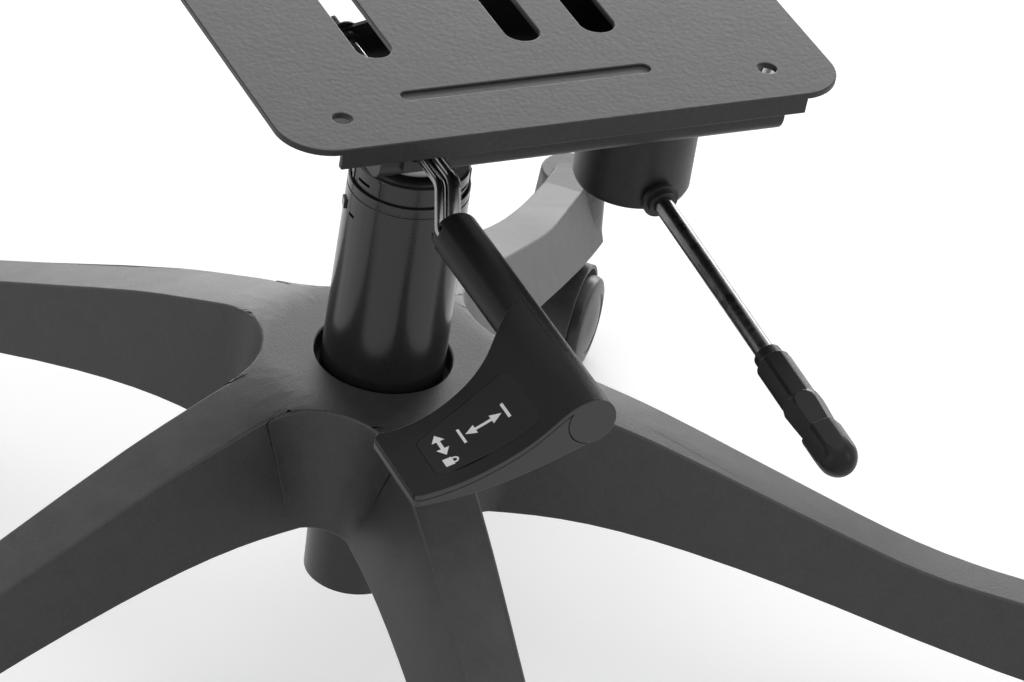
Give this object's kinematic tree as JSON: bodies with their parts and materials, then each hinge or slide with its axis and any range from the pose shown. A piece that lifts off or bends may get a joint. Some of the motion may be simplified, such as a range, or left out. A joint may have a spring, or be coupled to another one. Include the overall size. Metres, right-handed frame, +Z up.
{
  "type": "office chair base",
  "caption": "Swivel chair base: ribbed star of legs on twin-wheel casters, covered gas lift column, tilt mechanism with seat plate, height paddle and side tension lever.",
  "frame": {"origin": "point on the floor under the middle of the column, where the column's axis meets the plane that the wheels stand on", "axes": "+Z up along the column, +Y towards the front of the seat, +X to the sitter's right, the side of both levers"},
  "size_m": [0.7252, 0.736, 0.383],
  "materials": {
    "star_nylon": "fine grained, dark grey",
    "caster_nylon": "satin",
    "wheel_nylon": "satin",
    "cover_plastic": "satin gloss",
    "column_paint": "satin black",
    "mech_paint": "satin black, light grain",
    "bright_steel": "zinc plated",
    "chrome_steel": "polished",
    "dark_steel": "dark plated",
    "socket_steel": "turned",
    "paddle_plastic": "satin",
    "label_plastic": "fine grained",
    "grip_plastic": "satin gloss",
    "bush_plastic": "plain",
    "dark_bush": "satin",
    "buffer_rubber": "matt"
  },
  "bodies": {
    "star_base": {"star_base": "star_nylon", "column_tube": "column_paint", "guide_bush": "bush_plastic", "thrust_bearing": "bright_steel", "cover_outer": "cover_plastic", "stem_snap_rings": "bright_steel"},
    "seat_swivel": {"piston_rod": "chrome_steel", "rod_clip": "bright_steel", "rod_buffer": "buffer_rubber", "piston": "bush_plastic"},
    "mechanism": {"gas_cylinder": "column_paint", "column_socket": "socket_steel", "cover_inner": "cover_plastic", "mech_housing": "mech_paint", "lever_bushes": "dark_bush", "pivot_shaft": "bright_steel", "pivot_circlips": "bright_steel", "spring_barrel": "mech_paint", "barrel_rivets": "bright_steel", "tension_bush": "dark_bush"},
    "seat_plate": {"seat_plate": "mech_paint", "pivot_bushes": "bush_plastic", "upper_spring_seat": "bright_steel", "lock_comb": "mech_paint", "tilt_spring": "bright_steel"},
    "tension_lever": {"tension_rod": "dark_steel", "bevel_pinion": "bright_steel", "tension_grip": "grip_plastic"},
    "tension_screw": {"tension_screw": "bright_steel", "crown_gear": "bright_steel"},
    "spring_cup": {"spring_cup": "bright_steel"},
    "lock_slider": {"lock_slider": "bright_steel"},
    "paddle": {"lift_rod": "chrome_steel", "lock_rod": "chrome_steel", "paddle_grip": "paddle_plastic", "paddle_underside": "paddle_plastic", "paddle_label": "label_plastic"},
    "release_pin": {"release_pin": "bright_steel"},
    "caster_1": {"caster_hood_1": "caster_nylon", "caster_pins_1": "bright_steel"},
    "wheel_left_1": {"caster_wheel_left_1": "wheel_nylon"},
    "wheel_right_1": {"caster_wheel_right_1": "wheel_nylon"},
    "caster_2": {"caster_hood_2": "caster_nylon", "caster_pins_2": "bright_steel"},
    "wheel_left_2": {"caster_wheel_left_2": "wheel_nylon"},
    "wheel_right_2": {"caster_wheel_right_2": "wheel_nylon"},
    "caster_3": {"caster_hood_3": "caster_nylon", "caster_pins_3": "bright_steel"},
    "wheel_left_3": {"caster_wheel_left_3": "wheel_nylon"},
    "wheel_right_3": {"caster_wheel_right_3": "wheel_nylon"},
    "caster_4": {"caster_hood_4": "caster_nylon", "caster_pins_4": "bright_steel"},
    "wheel_left_4": {"caster_wheel_left_4": "wheel_nylon"},
    "wheel_right_4": {"caster_wheel_right_4": "wheel_nylon"},
    "caster_5": {"caster_hood_5": "caster_nylon", "caster_pins_5": "bright_steel"},
    "wheel_left_5": {"caster_wheel_left_5": "wheel_nylon"},
    "wheel_right_5": {"caster_wheel_right_5": "wheel_nylon"}
  },
  "joints": [
    {"name": "caster_swivel_1", "type": "hinge", "parent": "star_base", "child": "caster_1", "pos_m": [0.14068, 0.32201, 0.07], "axis": [0, 0, 1], "continuous": true},
    {"name": "wheel_roll_left_1", "type": "hinge", "parent": "caster_1", "child": "wheel_left_1", "pos_m": [0.15564, 0.30873, 0.025], "axis": [0.6639, 0.7478, 0], "continuous": true},
    {"name": "wheel_roll_right_1", "type": "hinge", "parent": "caster_1", "child": "wheel_right_1", "pos_m": [0.15564, 0.30873, 0.025], "axis": [0.6639, 0.7478, 0], "continuous": true},
    {"name": "caster_swivel_2", "type": "hinge", "parent": "star_base", "child": "caster_2", "pos_m": [-0.26278, 0.2333, 0.07], "axis": [0, 0, 1], "continuous": true},
    {"name": "wheel_roll_left_2", "type": "hinge", "parent": "caster_2", "child": "wheel_left_2", "pos_m": [-0.24782, 0.22002, 0.025], "axis": [0.6639, 0.7478, 0], "continuous": true},
    {"name": "wheel_roll_right_2", "type": "hinge", "parent": "caster_2", "child": "wheel_right_2", "pos_m": [-0.24782, 0.22002, 0.025], "axis": [0.6639, 0.7478, 0], "continuous": true},
    {"name": "caster_swivel_3", "type": "hinge", "parent": "star_base", "child": "caster_3", "pos_m": [-0.30309, -0.17782, 0.07], "axis": [0, 0, 1], "continuous": true},
    {"name": "wheel_roll_left_3", "type": "hinge", "parent": "caster_3", "child": "wheel_left_3", "pos_m": [-0.28813, -0.1911, 0.025], "axis": [0.6639, 0.7478, 0], "continuous": true},
    {"name": "wheel_roll_right_3", "type": "hinge", "parent": "caster_3", "child": "wheel_right_3", "pos_m": [-0.28813, -0.1911, 0.025], "axis": [0.6639, 0.7478, 0], "continuous": true},
    {"name": "caster_swivel_4", "type": "hinge", "parent": "star_base", "child": "caster_4", "pos_m": [0.07546, -0.3432, 0.07], "axis": [0, 0, 1], "continuous": true},
    {"name": "wheel_roll_left_4", "type": "hinge", "parent": "caster_4", "child": "wheel_left_4", "pos_m": [0.09041, -0.35648, 0.025], "axis": [0.6639, 0.7478, 0], "continuous": true},
    {"name": "wheel_roll_right_4", "type": "hinge", "parent": "caster_4", "child": "wheel_right_4", "pos_m": [0.09041, -0.35648, 0.025], "axis": [0.6639, 0.7478, 0], "continuous": true},
    {"name": "caster_swivel_5", "type": "hinge", "parent": "star_base", "child": "caster_5", "pos_m": [0.34972, -0.03429, 0.07], "axis": [0, 0, 1], "continuous": true},
    {"name": "wheel_roll_left_5", "type": "hinge", "parent": "caster_5", "child": "wheel_left_5", "pos_m": [0.36468, -0.04757, 0.025], "axis": [0.6639, 0.7478, 0], "continuous": true},
    {"name": "wheel_roll_right_5", "type": "hinge", "parent": "caster_5", "child": "wheel_right_5", "pos_m": [0.36468, -0.04757, 0.025], "axis": [0.6639, 0.7478, 0], "continuous": true},
    {"name": "seat_swivel", "type": "hinge", "parent": "star_base", "child": "seat_swivel", "pos_m": [0, 0, 0.09], "axis": [0, 0, 1], "continuous": true},
    {"name": "height_lift", "type": "slide", "parent": "seat_swivel", "child": "mechanism", "axis": [0, 0, 1], "range_m": [0, 0.095]},
    {"name": "seat_tilt", "type": "hinge", "parent": "mechanism", "child": "seat_plate", "pos_m": [0, 0.143, 0.368], "axis": [1, 0, 0], "range_deg": [0, 10], "stiffness_Nm_per_rad": 35, "springref_deg": -48.7, "deforming": ["tilt_spring"]},
    {"name": "tension_turn", "type": "hinge", "parent": "mechanism", "child": "tension_lever", "pos_m": [0, 0.1115, 0.2894], "axis": [-0.9971, 0, 0.0764], "range_deg": [0, 1080]},
    {"name": "tension_screw_turn", "type": "hinge", "parent": "mechanism", "child": "tension_screw", "pos_m": [0, 0.1115, 0.29], "axis": [0, 0, 1], "range_deg": [0, 540]},
    {"name": "spring_cup_rise", "type": "slide", "parent": "mechanism", "child": "spring_cup", "axis": [0, 0, 1], "range_m": [0, 0.0045]},
    {"name": "tilt_lock_slide", "type": "slide", "parent": "mechanism", "child": "lock_slider", "axis": [1, 0, 0], "range_m": [0, 0.008]},
    {"name": "paddle_lift", "type": "hinge", "parent": "lock_slider", "child": "paddle", "pos_m": [0, -0.0172, 0.3415], "axis": [-1, 0, 0], "range_deg": [0, 12], "stiffness_Nm_per_rad": 0.8, "springref_deg": -14.32},
    {"name": "valve_pin_press", "type": "slide", "parent": "mechanism", "child": "release_pin", "axis": [0, 0, -1], "range_m": [0, 0.0036]}
  ],
  "couplings": [
    {"joint": "tension_screw_turn", "follows": "spring_cup_rise", "rad_per_m": 2094.4},
    {"joint": "tension_turn", "follows": "spring_cup_rise", "rad_per_m": 4188.8},
    {"joint": "valve_pin_press", "follows": "paddle_lift", "m_per_rad": 0.017188}
  ]
}
